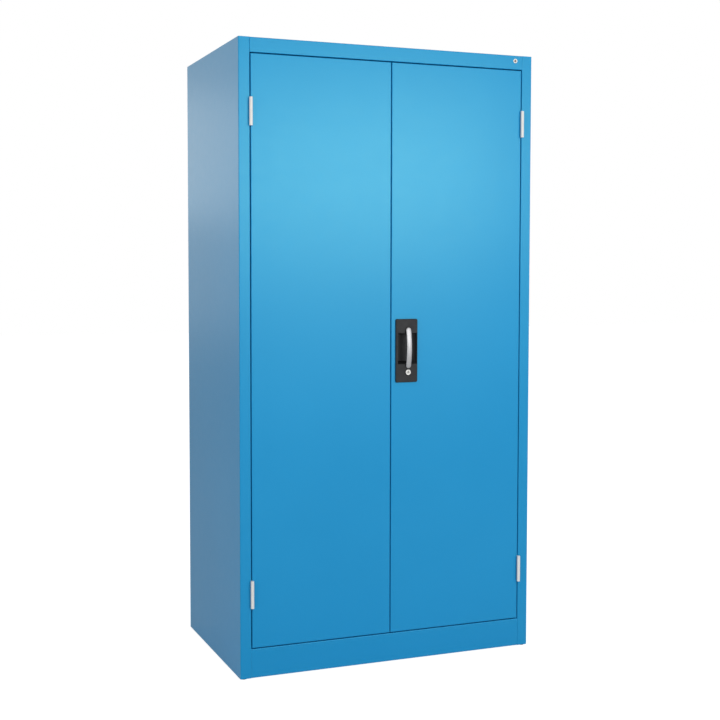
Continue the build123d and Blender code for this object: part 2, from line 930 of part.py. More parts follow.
def lower_rod():
    """Rod to the plinth, driven by a rack to the left of the pinion, with two notches for the cam."""
    length = pivot_z - door_bottom - rod_tip_gap
    bar = rack_bar(-rack_reach, rack_relief, rack_phase(2)) + plain_bar(rack_relief, length)
    bar = chamfer(bar.vertices().group_by(Axis.X)[-1], rod_tip_chamfer)
    outline = Rot(Z=-90) * mirror(bar, about=Plane.XZ)
    rod = seen_from_front(outline, pivot_x, pivot_z, rod_front, rod_back)
    for shift in (0, rod_travel):
        rod -= cam_notch(shift)
    return rod


def cam_notch(shift):
    """Notch in the lower rod, as wide as the path of the cam's tip."""
    tip_radius = sqrt(cam_reach**2 + (cam_arm / 2) ** 2)
    edge = rack_tip - notch_clearance
    sweep = sqrt(tip_radius**2 - edge**2)
    middle = cylinder_z + shift
    return block(
        (pivot_x - cam_reach - notch_clearance, front + rod_front - 1, middle - sweep - notch_clearance),
        (pivot_x - edge, front + rod_back + 1, middle + cam_arm / 2 + notch_clearance),
    )


def centre_tongue():
    """Tongue to the left door's edge, driven by a rack above the pinion."""
    length = pivot_x - door_inner - tongue_tip_gap
    bar = rack_bar(-rack_reach, rack_relief, rack_phase(1)) + plain_bar(rack_relief, length)
    bar = chamfer(bar.vertices().group_by(Axis.X)[-1], rod_tip_chamfer)
    outline = mirror(bar, about=Plane.YZ)
    return seen_from_front(outline, pivot_x, pivot_z, tongue_front, tongue_back)


def lock_base():
    """Flat plate behind the handle plate, with a bearing for the pinion's hub."""
    half = case_outside + case_flare
    low = cam_bottom - case_cover
    high = pivot_z + case_outside
    plate = block((pivot_x - half, front + dish_back, low), (pivot_x + half, front + base_back, high))
    plate = chamfer(plate.edges().filter_by(Axis.Y), plate_wall)
    plate -= round_bar(front_hub_diameter + 2 * running_fit, pivot_x, pivot_z, 0, cover_back)
    cylinder_hole = small_round(cylinder_body + 2 * cylinder_clearance)
    plate -= seen_from_front(cylinder_hole, pivot_x, cylinder_z, 0, cover_back)
    for x, z in case_screw_places():
        plate -= seen_from_front(small_round(case_screw + 2 * screw_clearance), x, z, 0, cover_back)
    return plate


def lock_cover():
    """Folded cover over the pinion and the racks, with ears for the case screws."""
    low = cam_bottom - case_cover
    high = pivot_z + case_outside
    shell = block(
        (pivot_x - case_outside, front + base_back, low),
        (pivot_x + case_outside, front + cover_back, high),
    )
    shell = chamfer(shell.edges().group_by(Axis.Y)[-1], case_cover)
    hollow = block(
        (pivot_x - case_inside, front + base_back - 1, cam_bottom),
        (pivot_x + case_inside, front + cover_inside, pivot_z + case_inside),
    )
    for x, z in case_screw_places():
        ear_x = pivot_x + case_outside if x > pivot_x else pivot_x - case_outside - case_flare
        ear_low = z - ear_height / 2
        shell += block(
            (ear_x, front + base_back, ear_low),
            (ear_x + case_flare, front + base_back + case_cover, ear_low + ear_height),
        )
    shell -= hollow
    shell -= rod_slot(upper_rod_x, pivot_z, high + 1)
    shell -= rod_slot(lower_rod_x, low - 1, cylinder_z)
    reach = rod_width / 2 + slot_clearance
    shell -= block(
        (pivot_x - case_outside - 1, front + base_back - 1, tongue_z - reach),
        (pivot_x, front + tongue_back + slot_clearance, tongue_z + reach),
    )
    bearing = rear_hub_diameter + 2 * running_fit
    shell -= round_bar(bearing, pivot_x, pivot_z, cover_inside - 1, cover_back + 1)
    window = Rectangle(cam_window, cam_window)
    shell -= seen_from_front(window, pivot_x, cylinder_z, cover_inside - 1, cover_back + 1)
    hole = small_round(case_screw + 2 * screw_clearance)
    for x, z in case_screw_places():
        shell -= seen_from_front(hole, x, z, 0, base_back + 2 * case_cover)
    return shell


def case_screws():
    """Four hexagon-head screws that hold the case to the handle plate's bosses."""
    screws = []
    seat = base_back + case_cover
    tip = seat + case_screw_head_height - case_screw_length
    hexagon = RegularPolygon(case_screw_head / 2, 6, major_radius=False, rotation=30)
    for x, z in case_screw_places():
        head = seen_from_front(hexagon, x, z, seat, seat + case_screw_head_height)
        screws.append(head + seen_from_front(small_round(case_screw), x, z, tip, seat + running_fit))
    return group(screws)


# Key cylinder


def cylinder_housing():
    """Fixed sleeve of the key cylinder with its round front flange."""
    rear = tongue_back
    face = -plate_proud - cylinder_flange_height
    flange = round_bar(cylinder_flange, pivot_x, cylinder_z, face, -plate_proud)
    body = round_bar(cylinder_body, pivot_x, cylinder_z, -plate_proud - 1, rear)
    bore = round_bar(plug_diameter + 2 * running_fit, pivot_x, cylinder_z, -3 * plate_proud, rear + 1)
    return flange + body - bore


def cylinder_nut():
    """Hexagon nut that clamps the key cylinder behind the plate's front wall."""
    hexagon = RegularPolygon(cylinder_nut_width / 2, 6, major_radius=False)
    nut = hexagon - small_round(cylinder_body + cylinder_clearance)
    return seen_from_front(nut, pivot_x, cylinder_z, plate_wall - plate_proud, -running_fit)


def cylinder_plug():
    """Turning plug with a key slot in front and a square tang behind."""
    face = -plate_proud - cylinder_flange_height
    cam_front = rod_front + lock_layer_gap
    plug = round_bar(plug_diameter, pivot_x, cylinder_z, face, cam_front)
    slot = Rectangle(key_slot_width, key_slot_length)
    plug -= seen_from_front(slot, pivot_x, cylinder_z, face - 1, face + key_slot_depth)
    tang = Rectangle(cam_square, cam_square)
    plug += seen_from_front(tang, pivot_x, cylinder_z, cam_front, cam_front + cam_thickness)
    bore = small_round(cam_screw_shank + 2 * running_fit)
    far = cam_front + cam_thickness
    return plug - seen_from_front(bore, pivot_x, cylinder_z, far - cam_screw_length, far + 1)


def lock_cam():
    """Flat cam on the plug's tang, which points down when unlocked."""
    arm = Pos(0, -cam_reach / 2) * Rectangle(cam_arm, cam_reach)
    square = cam_square + 2 * running_fit
    cam = small_round(cam_hub) + arm - Rectangle(square, square)
    cam_front = rod_front + lock_layer_gap
    return seen_from_front(cam, pivot_x, cylinder_z, cam_front, cam_front + cam_thickness)


def cam_screw():
    """Hexagon-head screw that holds the cam on the tang."""
    seat = rod_front + lock_layer_gap + cam_thickness
    tip = seat + 1 - cam_screw_length
    shank = seen_from_front(small_round(cam_screw_shank), pivot_x, cylinder_z, tip, seat + running_fit)
    hexagon = RegularPolygon(cam_screw_head / 2, 6, major_radius=False)
    return shank + seen_from_front(hexagon, pivot_x, cylinder_z, seat, seat + cam_screw_head_height)


def all_nodes():
    """Every node of the cabinet by name."""
    left_front, left_rear = [upright(y) for y in upright_places()]
    nodes = {
        "side_panel_left": side_panel(),
        "side_panel_right": mirrored(side_panel()),
        "roof_panel": roof_panel(),
        "floor_panel": floor_panel(),
        "plinth": plinth(),
        "back_panel": back_panel(),
        "upper_strike": strike(upper_rod_x, opening_top + body_sheet),
        "lower_strike": strike(lower_rod_x, opening_bottom - 2 * body_sheet - strike_thickness),
        "corner_plates": corner_plates(),
        "levelling_glides": levelling_glides(),
        "header_disc": header_disc(),
        "door_buffers": door_buffers(),
        "upright_front_left": left_front,
        "upright_rear_left": left_rear,
        "upright_front_right": mirrored(left_front),
        "upright_rear_right": mirrored(left_rear),
        "frame_hinges_left": frame_hinges(),
        "frame_hinges_right": mirrored(frame_hinges()),
        "door_hinges_left": door_hinges(),
        "door_hinges_right": mirrored(door_hinges()),
        "left_door": left_door(),
        "left_stiffener": door_stiffener(),
        "tongue_keeper": tongue_keeper(),
        "right_door": right_door(),
        "right_stiffener": mirrored(door_stiffener()),
        "upper_rail": upper_rail(),
        "lower_rail": lower_rail(),
        "rod_guides": rod_guides(),
        "handle_plate": handle_plate(),
        "lock_base": lock_base(),
        "lock_cover": lock_cover(),
        "case_screws": case_screws(),
        "cylinder_housing": cylinder_housing(),
        "cylinder_nut": cylinder_nut(),
        "bow_handle": bow_handle(),
        "spindle": spindle(),
        "drive_pinion": drive_pinion(),
        "spindle_clip": spindle_clip(),
        "upper_rod": upper_rod(),
        "lower_rod": lower_rod(),
        "centre_tongue": centre_tongue(),
        "cylinder_plug": cylinder_plug(),
        "lock_cam": lock_cam(),
        "cam_screw": cam_screw(),
    }
    for number, level in enumerate(shelf_levels(), start=1):
        nodes[f"shelf_{number}"] = shelf(level)
        nodes[f"shelf_clips_{number}"] = shelf_clips(level)
    return nodes


os.makedirs("parts", exist_ok=True)
for name, part in all_nodes().items():
    export_step(part, f"parts/{name}.step")
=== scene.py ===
"""Two-door steel tool cabinet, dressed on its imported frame. Lengths are in metres."""

import logging
from dataclasses import dataclass, field, replace
from enum import Enum
from math import copysign, cos, pi, radians, sin, sqrt
from typing import Iterable, Sequence

import bmesh
import bpy
from mathutils import Color, Euler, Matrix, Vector
from mathutils.bvhtree import BVHTree


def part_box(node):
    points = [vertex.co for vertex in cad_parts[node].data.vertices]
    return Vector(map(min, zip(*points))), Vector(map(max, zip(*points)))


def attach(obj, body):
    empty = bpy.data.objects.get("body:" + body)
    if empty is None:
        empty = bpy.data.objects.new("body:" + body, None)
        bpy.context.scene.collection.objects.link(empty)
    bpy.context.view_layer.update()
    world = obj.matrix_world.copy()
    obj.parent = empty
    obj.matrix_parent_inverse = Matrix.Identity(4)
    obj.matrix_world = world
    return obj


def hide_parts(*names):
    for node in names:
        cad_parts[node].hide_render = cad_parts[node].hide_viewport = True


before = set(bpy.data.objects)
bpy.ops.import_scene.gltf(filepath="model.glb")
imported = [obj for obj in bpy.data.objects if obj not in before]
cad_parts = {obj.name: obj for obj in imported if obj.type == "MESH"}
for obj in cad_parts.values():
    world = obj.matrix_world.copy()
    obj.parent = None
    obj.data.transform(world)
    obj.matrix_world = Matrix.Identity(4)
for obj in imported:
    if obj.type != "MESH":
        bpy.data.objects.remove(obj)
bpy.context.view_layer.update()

log = logging.getLogger("tool_cabinet")

WELD = 1e-6  # corners nearer than this are joined
FLAT_ANGLE = 1.0  # degrees; faces that meet at less are one flat face
EDGE_ANGLE = 32.0  # degrees; sharper edges are rounded
EDGE_SEGMENTS = 3
PLACE_DIGITS = 5  # places are put in order to the hundredth of a millimetre
SEAM = 0.0003  # between a post and the ends of the header and the plinth
DOME_STEPS = 8
DOME_TURN = 80.0  # degrees that a domed end is carried round, short of its pole
NOISE_BAND = (0.3, 0.7)  # where nearly all of a noise lies
WHITE = (1.0, 1.0, 1.0, 1.0)

Colour = tuple[int, int, int]
Point = tuple[float, float, float]
Box = tuple[Vector, Vector]
Curve = Sequence[tuple[float, float]]  # pairs of places or shares
Socket = bpy.types.NodeSocket


class Axis(Enum):
    """The three directions of the cabinet: to the right, to the back and up."""

    RIGHT = Vector((1.0, 0.0, 0.0))
    BACK = Vector((0.0, 1.0, 0.0))
    UP = Vector((0.0, 0.0, 1.0))


class Hand(Enum):
    """The side of the cabinet that a piece belongs to."""

    LEFT = "left"
    RIGHT = "right"


# Finishes


def linear(colour: Colour) -> tuple[float, float, float, float]:
    """Turns red, green and blue from 0 to 255 into the renderer's linear ones, and adds alpha."""
    shade = Color([part / 255 for part in colour]).from_srgb_to_scene_linear()
    return (shade.r, shade.g, shade.b, 1.0)


class ShaderBench:
    """Lays out the nodes of one material, in the coordinates of the piece itself."""

    def __init__(self, label: str) -> None:
        """Starts a material.

        Args:
            label: The material's name.
        """
        self.material = bpy.data.materials.new(label)
        self.material.use_nodes = True
        self.nodes = self.material.node_tree.nodes
        self.links = self.material.node_tree.links
        self.shader = self.nodes["Principled BSDF"]
        self.place = self.node("TexCoord").outputs["Object"]

    def node(self, kind: str, **values: float | Point) -> bpy.types.ShaderNode:
        """Adds a node and sets its sockets.

        Args:
            kind: The node's kind.
            values: Values of its sockets, named with underscores for spaces.

        Returns:
            The node.
        """
        node = self.nodes.new(f"ShaderNode{kind}")
        for name, value in values.items():
            node.inputs[name.replace("_", " ")].default_value = value
        return node

    def stretched(self, scale: Point) -> Socket:
        """Object coordinates, scaled along each axis.

        Args:
            scale: Factors for X, Y and Z.

        Returns:
            The scaled coordinates.
        """
        mapping = self.node("Mapping", Scale=scale)
        self.links.new(self.place, mapping.inputs["Vector"])
        return mapping.outputs["Vector"]

    def noise(self, scale: float, detail: float = 3.0, stretch: Point = (1.0, 1.0, 1.0)) -> Socket:
        """Cloudy noise.

        Args:
            scale: Repeats in a metre.
            detail: Number of finer layers.
            stretch: Factors for X, Y and Z.

        Returns:
            The noise from 0 to 1.
        """
        node = self.node("TexNoise", Scale=scale, Detail=detail)
        self.links.new(self.stretched(stretch), node.inputs["Vector"])
        return node.outputs["Fac"]

    def cells(self, scale: float, feature: str = "F1") -> bpy.types.ShaderNode:
        """Irregular cells.

        Args:
            scale: Cells in a metre.
            feature: Which distance the cells give.

        Returns:
            The cell node, with its distance and colour.
        """
        node = self.node("TexVoronoi", Scale=scale)
        node.feature = feature
        self.links.new(self.place, node.inputs["Vector"])
        return node

    def reckon(
        self, operation: str, value: Socket, other: Point | None = None
    ) -> bpy.types.ShaderNode:
        """Does a sum with places or lengths.

        Args:
            operation: The sum.
            value: What it starts from.
            other: A fixed second term.

        Returns:
            The node, with its vector and value.
        """
        node = self.node("VectorMath")
        node.operation = operation
        self.links.new(value, node.inputs[0])
        if other is not None:
            node.inputs[1].default_value = other
        return node

    def spread(self, value: Socket, low: float, high: float) -> Socket:
        """Maps the middle of a noise onto a range.

        Args:
            value: Noise from 0 to 1.
            low: Result for the noise's low patches.
            high: Result for its high patches.

        Returns:
            The mapped value.
        """
        bottom, top = NOISE_BAND
        node = self.node("MapRange", From_Min=bottom, From_Max=top, To_Min=low, To_Max=high)
        self.links.new(value, node.inputs["Value"])
        return node.outputs["Result"]

    def tint(self, value: Socket, dark: Colour, light: Colour) -> Socket:
        """Blends two colours by a value.

        Args:
            value: 0 for the first colour, 1 for the second.
            dark: First colour.
            light: Second colour.

        Returns:
            The blended colour.
        """
        node = self.node("Mix")
        node.data_type = "RGBA"
        colours = [socket for socket in node.inputs if socket.type == "RGBA"]
        colours[0].default_value = linear(dark)
        colours[1].default_value = linear(light)
        self.links.new(value, node.inputs["Factor"])
        return [socket for socket in node.outputs if socket.type == "RGBA"][0]

    def relief(self, height: Socket, depth: float, under: Socket | None = None) -> Socket:
        """Adds fine relief.

        Args:
            height: Height of the relief from 0 to 1.
            depth: Its depth in metres.
            under: Normal of a coarser relief below it.

        Returns:
            The normal.
        """
        node = self.node("Bump", Strength=1.0, Distance=depth)
        self.links.new(height, node.inputs["Height"])
        if under is not None:
            self.links.new(under, node.inputs["Normal"])
        return node.outputs["Normal"]

    def feed(self, value: Socket, name: str) -> None:
        """Links a value to the shader's socket of that name."""
        self.links.new(value, self.shader.inputs[name])

    def fix(self, **values: float) -> None:
        """Sets the shader's own sockets, named with underscores for spaces."""
        for name, value in values.items():
            self.shader.inputs[name.replace("_", " ")].default_value = value


@dataclass(frozen=True, kw_only=True)
class Finish:
    """What all finishes share: their slot, two tones of one colour and two roughnesses."""

    slot: str
    dark: Colour
    light: Colour
    smooth: float = 0.3
    rough: float = 0.4
    variant: str = ""

    def lay_out(self, bench: ShaderBench) -> None:
        """Builds the finish's nodes on a bench."""
        raise NotImplementedError

    def coat(self, bench: ShaderBench, patches: Socket, sheen: Socket) -> None:
        """Blends the two tones by one noise and the two roughnesses by another."""
        bench.feed(bench.tint(bench.spread(patches, 0.0, 1.0), self.dark, self.light), "Base Color")
        bench.feed(bench.spread(sheen, self.smooth, self.rough), "Roughness")

    def material(self) -> bpy.types.Material:
        """The finish's material, made when first asked for.

        Returns:
            The material.
        """
        known = bpy.data.materials.get(self.name())
        if known is not None:
            return known
        bench = ShaderBench(self.name())
        self.lay_out(bench)
        return bench.material

    def name(self) -> str:
        """Name of the finish's material."""
        return f"finish_{self.slot}{self.variant}"


@dataclass(frozen=True, kw_only=True)
class PowderCoat(Finish):
    """Baked powder paint: satin, with a fine orange-peel skin."""

    smooth: float = 0.30
    rough: float = 0.325
    drift: float = 2.2
    haze: float = 38.0
    peel: float = 320.0
    peel_depth: float = 0.00003
    grain_per_peel: float = 5.0
    grain_share: float = 0.125
    gloss: float = 0.5
    sheen_of_highlight: Colour = (170, 255, 232)

    def lay_out(self, bench: ShaderBench) -> None:
        """Builds the paint's nodes.

        Args:
            bench: The material's bench.
        """
        self.coat(bench, bench.noise(self.drift, detail=2.0), bench.noise(self.haze))
        skin = bench.relief(bench.noise(self.peel, detail=2.0), self.peel_depth)
        grain = bench.noise(self.peel * self.grain_per_peel, detail=1.0)
        bench.feed(bench.relief(grain, self.peel_depth * self.grain_share, skin), "Normal")
        bench.fix(Metallic=0.0, Specular_IOR_Level=self.gloss)
        bench.shader.inputs["Specular Tint"].default_value = linear(self.sheen_of_highlight)


@dataclass(frozen=True, kw_only=True)
class SpangledZinc(Finish):
    """Hot-dip galvanised sheet with its crystal spangle."""

    spangle: float = 75.0
    spangle_depth: float = 0.00006
    frost: float = 202.5
    frost_depth: float = 0.00002

    def lay_out(self, bench: ShaderBench) -> None:
        """Builds the zinc's nodes.

        Args:
            bench: The material's bench.
        """
        crystals = bench.cells(self.spangle)
        frost = bench.cells(self.frost)
        split = bench.node("SeparateColor")
        bench.links.new(crystals.outputs["Color"], split.inputs["Color"])
        bench.feed(bench.tint(split.outputs["Red"], self.dark, self.light), "Base Color")
        bench.feed(bench.spread(split.outputs["Green"], self.smooth, self.rough), "Roughness")
        facets = bench.relief(crystals.outputs["Distance"], self.spangle_depth)
        bench.feed(bench.relief(frost.outputs["Distance"], self.frost_depth, facets), "Normal")
        bench.fix(Metallic=1.0)


@dataclass(frozen=True, kw_only=True)
class PlatedSteel(Finish):
    """Zinc-plated steel with faint rolling lines."""

    clouds: float = 22.0
    lines: float = 900.0
    line_stretch: Point = (1.0, 1.0, 0.04)
    line_depth: float = 0.00001

    def lay_out(self, bench: ShaderBench) -> None:
        """Builds the plating's nodes.

        Args:
            bench: The material's bench.
        """
        lines = bench.noise(self.lines, detail=2.0, stretch=self.line_stretch)
        self.coat(bench, bench.noise(self.clouds, detail=4.0), lines)
        bench.feed(bench.relief(lines, self.line_depth), "Normal")
        bench.fix(Metallic=1.0)


@dataclass(frozen=True, kw_only=True)
class BrushedMetal(Finish):
    """Satin-brushed plating with upright hairlines."""

    hairlines: float = 1500.0
    hair_stretch: Point = (1.0, 1.0, 0.03)
    hair_depth: float = 0.000006
    streaks: float = 500.0

    def lay_out(self, bench: ShaderBench) -> None:
        """Builds the brushed metal's nodes.

        Args:
            bench: The material's bench.
        """
        hair = bench.noise(self.hairlines, stretch=self.hair_stretch)
        self.coat(bench, hair, bench.noise(self.streaks, detail=2.0, stretch=self.hair_stretch))
        bench.feed(bench.relief(hair, self.hair_depth), "Normal")
        bench.fix(Metallic=1.0)


@dataclass(frozen=True, kw_only=True)
class TurnedMetal(Finish):
    """Lathe-turned face, with fine rings around a centre that looks to the front."""

    centre: Point
    rings: float = 3000.0
    ring_depth: float = 0.000008
    haze: float = 400.0

    def lay_out(self, bench: ShaderBench) -> None:
        """Builds the turned metal's nodes.

        Args:
            bench: The material's bench.
        """
        offset = bench.reckon("SUBTRACT", bench.place, self.centre)
        flat = bench.reckon("MULTIPLY", offset.outputs["Vector"], (1.0, 0.0, 1.0))
        reach = bench.reckon("LENGTH", flat.outputs["Vector"])
        node = bench.node("TexNoise", Scale=self.rings)
        node.noise_dimensions = "1D"
        bench.links.new(reach.outputs["Value"], node.inputs["W"])
        ring = node.outputs["Fac"]
        self.coat(bench, ring, bench.noise(self.haze, detail=2.0))
        bench.feed(bench.relief(ring, self.ring_depth), "Normal")
        bench.fix(Metallic=1.0)


@dataclass(frozen=True, kw_only=True)
class MouldedPlastic(Finish):
    """Moulded plastic or rubber with a spark-eroded grain."""

    smooth: float = 0.46
    rough: float = 0.62
    grain: float = 900.0
    grain_depth: float = 0.00008
    dust_per_grain: float = 2.0
    dust_share: float = 0.25
    mottle: float = 300.0
    haze: float = 60.0
    gloss: float = 0.3

    def lay_out(self, bench: ShaderBench) -> None:
        """Builds the plastic's nodes.

        Args:
            bench: The material's bench.
        """
        self.coat(bench, bench.noise(self.mottle, detail=4.0), bench.noise(self.haze))
        pits = bench.cells(self.grain, "SMOOTH_F1")
        coarse = bench.relief(pits.outputs["Distance"], self.grain_depth)
        dust = bench.noise(self.grain * self.dust_per_grain, detail=2.0)
        bench.feed(bench.relief(dust, self.grain_depth * self.dust_share, coarse), "Normal")
        bench.fix(Metallic=0.0, Specular_IOR_Level=self.gloss)


LOCK_CENTRE = (0.057, 0.0, 0.9301)
DISC_CENTRE = (0.439, 0.0, 1.9326)

BODY_PAINT = PowderCoat(slot="body_paint", dark=(24, 136, 193), light=(27, 139, 196))
DOOR_PAINT = PowderCoat(slot="door_paint", dark=(24, 137, 195), light=(27, 140, 198))
HINGE_GREY = PowderCoat(
    slot="hinge_grey",
    dark=(219, 217, 214),
    light=(226, 224, 221),
    smooth=0.36,
    rough=0.46,
    peel=500.0,
    sheen_of_highlight=(255, 255, 255),
)
GALVANISED = SpangledZinc(
    slot="galvanised", dark=(138, 142, 146), light=(168, 171, 174), smooth=0.42, rough=0.58
)
ZINC_STEEL = PlatedSteel(
    slot="zinc_steel", dark=(140, 141, 144), light=(164, 165, 166), smooth=0.36, rough=0.5
)
PLATE_PLASTIC = MouldedPlastic(
    slot="plate_plastic", dark=(15, 16, 18), light=(31, 32, 34), mottle=620.0
)
BOW_METAL = BrushedMetal(
    slot="bow_metal", dark=(156, 156, 158), light=(168, 168, 169), smooth=0.46, rough=0.54
)
LOCK_NICKEL = TurnedMetal(
    slot="lock_nickel",
    dark=(180, 179, 176),
    light=(196, 195, 191),
    centre=LOCK_CENTRE,
    smooth=0.4,
    rough=0.5,
)
# The plug's nickel is darker than the sleeve's. This is painted shade that stands in for the
# keyway, which is too narrow to show its own shade.
PLUG_NICKEL_PAINTED_SHADE = replace(LOCK_NICKEL, variant="_plug", dark=(146, 145, 142), light=(162, 161, 158))
DISC_METAL = replace(
    LOCK_NICKEL, slot="disc_metal", dark=(186, 186, 184), light=(206, 205, 202), centre=DISC_CENTRE
)
DISC_INLAY = MouldedPlastic(
    slot="disc_metal",
    variant="_inlay",
    dark=(118, 104, 100),
    light=(136, 122, 117),
    smooth=0.5,
    rough=0.6,
)
GLIDE_PLASTIC = MouldedPlastic(
    slot="glide_plastic", dark=(28, 28, 29), light=(38, 38, 39), grain=700.0
)
GUIDE_PLASTIC = MouldedPlastic(
    slot="guide_plastic", dark=(34, 34, 36), light=(44, 44, 46), smooth=0.38, rough=0.5
)
BUFFER_RUBBER = MouldedPlastic(
    slot="buffer_rubber", dark=(40, 40, 41), light=(52, 52, 52), smooth=0.7, rough=0.85
)

SLOT_FINISHES = (
    *(BODY_PAINT, DOOR_PAINT, HINGE_GREY, GALVANISED, ZINC_STEEL, PLATE_PLASTIC),
    *(BOW_METAL, LOCK_NICKEL, DISC_METAL, GLIDE_PLASTIC, GUIDE_PLASTIC, BUFFER_RUBBER),
)
FINISHES: dict[str, Finish] = {finish.slot: finish for finish in SLOT_FINISHES}


# Meshes


def piece_from(mesh: bpy.types.Mesh) -> bpy.types.Object:
    """Links a mesh into the scene as a smooth-shaded piece of the same name.

    Args:
        mesh: The piece's mesh.

    Returns:
        The new object.
    """
    for face in mesh.polygons:
        face.use_smooth = True
    piece = bpy.data.objects.new(mesh.name, mesh)
    bpy.context.scene.collection.objects.link(piece)
    return piece


def mesh_of(name: str, corners: Sequence[Vector], faces: Sequence[Sequence[int]]) -> bpy.types.Mesh:
    """Makes a clean mesh with its faces looking outwards.

    Args:
        name: The mesh's name.
        corners: Places of the corners.
        faces: Corner numbers of each face.

    Returns:
        The mesh.
    """
    mesh = bpy.data.meshes.new(name)
    mesh.from_pydata([tuple(corner) for corner in corners], [], [tuple(face) for face in faces])
    shape = bmesh.new()
    shape.from_mesh(mesh)
    bmesh.ops.remove_doubles(shape, verts=shape.verts, dist=WELD)
    bmesh.ops.recalc_face_normals(shape, faces=shape.faces)
    shape.to_mesh(mesh)
    shape.free()
    return mesh


def lofted(name: str, rings: Sequence[Sequence[Vector]]) -> bpy.types.Mesh:
    """Skins a row of rings and closes both ends.

    Args:
        name: The mesh's name.
        rings: Rings with as many points each.

    Returns:
        The closed mesh.
    """
    count = len(rings[0])
    corners = [point for ring in rings for point in ring]
    faces: list[Sequence[int]] = []
    for row in range(len(rings) - 1):
        for i in range(count):
            j = (i + 1) % count
            low, high = row * count, (row + 1) * count
            faces.append((low + i, low + j, high + j, high + i))
    faces.append(tuple(range(count)))
    faces.append(tuple(range((len(rings) - 1) * count, len(rings) * count)))
    return mesh_of(name, corners, faces)


def turned(name: str, centre: Vector, axis: Axis, profile: Curve, count: int) -> bpy.types.Mesh:
    """Turns a profile around an axis.

    Args:
        name: The mesh's name.
        centre: A point on the axis.
        axis: The axis' direction.
        profile: Distance along the axis and radius of each point.
        count: Points in a turn.

    Returns:
        The turned mesh.
    """
    across = Axis.RIGHT.value if axis is not Axis.RIGHT else Axis.UP.value
    other = axis.value.cross(across)
    rings = []
    for along, radius in profile:
        middle = centre + axis.value * along
        turn = [2 * pi * i / count for i in range(count)]
        rings.append([middle + (across * cos(a) + other * sin(a)) * radius for a in turn])
    return lofted(name, rings)


def domed(start: float, rise: float, radius: float, flat: float = 0.0) -> list[tuple[float, float]]:
    """Profile of a turned dome: it narrows from a radius to a flat as it rises from its start."""
    turn = [radians(DOME_TURN * i / DOME_STEPS) for i in range(DOME_STEPS + 1)]
    return [(start + rise * sin(a), flat + (radius - flat) * cos(a)) for a in turn]


def cad_shape(node: str) -> bmesh.types.BMesh:
    """Copies a CAD node's shape, joined at its corners and cleared of cuts across flat faces.

    Args:
        node: The CAD node's name.

    Returns:
        The shape, to be freed by the caller.
    """
    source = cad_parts[node].data
    shape = bmesh.new()
    corners = [shape.verts.new(corner.co) for corner in source.vertices]
    for face in source.polygons:
        shape.faces.new([corners[i] for i in face.vertices])
    bmesh.ops.remove_doubles(shape, verts=shape.verts, dist=WELD)
    bmesh.ops.dissolve_limit(
        shape,
        angle_limit=radians(FLAT_ANGLE),
        use_dissolve_boundaries=False,
        verts=shape.verts,
        edges=shape.edges,
    )
    return shape


def merged(name: str, parts: Sequence[bpy.types.Mesh]) -> bpy.types.Mesh:
    """Gathers meshes into one and deletes them.

    Args:
        name: The new mesh's name.
        parts: The meshes.

    Returns:
        The gathered mesh.
    """
    shape = bmesh.new()
    for part in parts:
        shape.from_mesh(part)
        bpy.data.meshes.remove(part)
    mesh = bpy.data.meshes.new(name)
    shape.to_mesh(mesh)
    shape.free()
    return mesh


def loose_boxes(node: str) -> list[Box]:
    """Boxes around the separate solids of a CAD node.

    Args:
        node: The CAD node's name.

    Returns:
        Lowest and highest corner of each solid, in order of place.
    """
    shape = cad_shape(node)
    known: set[bmesh.types.BMVert] = set()
    boxes = []
    for first in shape.verts:
        if first in known:
            continue
        known.add(first)
        island = [first]
        for corner in island:
            others = [edge.other_vert(corner) for edge in corner.link_edges]
            fresh = [other for other in others if other not in known]
            known.update(fresh)
            island.extend(fresh)
        sides = [[corner.co[i] for corner in island] for i in range(3)]
        boxes.append((Vector([min(side) for side in sides]), Vector([max(side) for side in sides])))
    shape.free()
    return sorted(boxes, key=lambda box: tuple(round(value, PLACE_DIGITS) for value in box[0]))


@dataclass
class SubAssembly:
    """Common ground of the sub-assemblies: they dress CAD nodes and add pieces of their own."""

    made: list[bpy.types.Object] = field(default_factory=list, init=False)

    def dress(self, *nodes: str) -> None:
        """Gives CAD nodes the finish of their own slot.

        Args:
            nodes: The CAD nodes' names.
        """
        for node in nodes:
            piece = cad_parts[node]
            for holder in piece.material_slots:
                label = holder.material.name.split(".")[0]
                if label in FINISHES:
                    holder.material = FINISHES[label].material()
            self.made.append(piece)

    def add(self, piece: bpy.types.Object, body: str, finish: Finish, *nodes: str) -> None:
        """Finishes a new piece, lets it ride on a body and has it stand for CAD nodes.

        Args:
            piece: The new piece.
            body: The body that it rides on.
            finish: Its finish.
            nodes: The CAD nodes that it replaces.
        """
        piece.data.materials.append(finish.material())
        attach(piece, body)
        if nodes:
            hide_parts(*nodes)
        self.made.append(piece)

    def soften(self, node: str, name: str, body: str, finish: Finish, rounding: float) -> None:
        """Replaces a CAD node with the same shape, its edges rounded.

        Args:
            node: The CAD node's name.
            name: The new piece's name.
            body: The body that it rides on.
            finish: Its finish.
            rounding: Radius of the rounded edges.
        """
        shape = cad_shape(node)
        mesh = bpy.data.meshes.new(name)
        shape.to_mesh(mesh)
        shape.free()
        piece = piece_from(mesh)
        bevel = piece.modifiers.new("rounded_edges", "BEVEL")
        bevel.width = rounding
        bevel.segments = EDGE_SEGMENTS
        bevel.limit_method = "ANGLE"
        bevel.angle_limit = radians(EDGE_ANGLE)
        bevel.miter_outer = "MITER_ARC"
        weighted = piece.modifiers.new("even_shading", "WEIGHTED_NORMAL")
        weighted.keep_sharp = True
        self.add(piece, body, finish, node)


# Sub-assemblies


@dataclass
class CabinetBody(SubAssembly):
    """Folded side walls with the door posts, roof, floor, plinth, back and their small plates."""

    sheets: tuple[str, ...] = (
        "side_panel_left",
        "side_panel_right",
        "roof_panel",
        "floor_panel",
        "plinth",
        "back_panel",
        "upper_strike",
        "lower_strike",
        "corner_plates",
    )

    def build(self) -> None:
        """Dresses the body's sheets."""
        self.dress(*self.sheets)


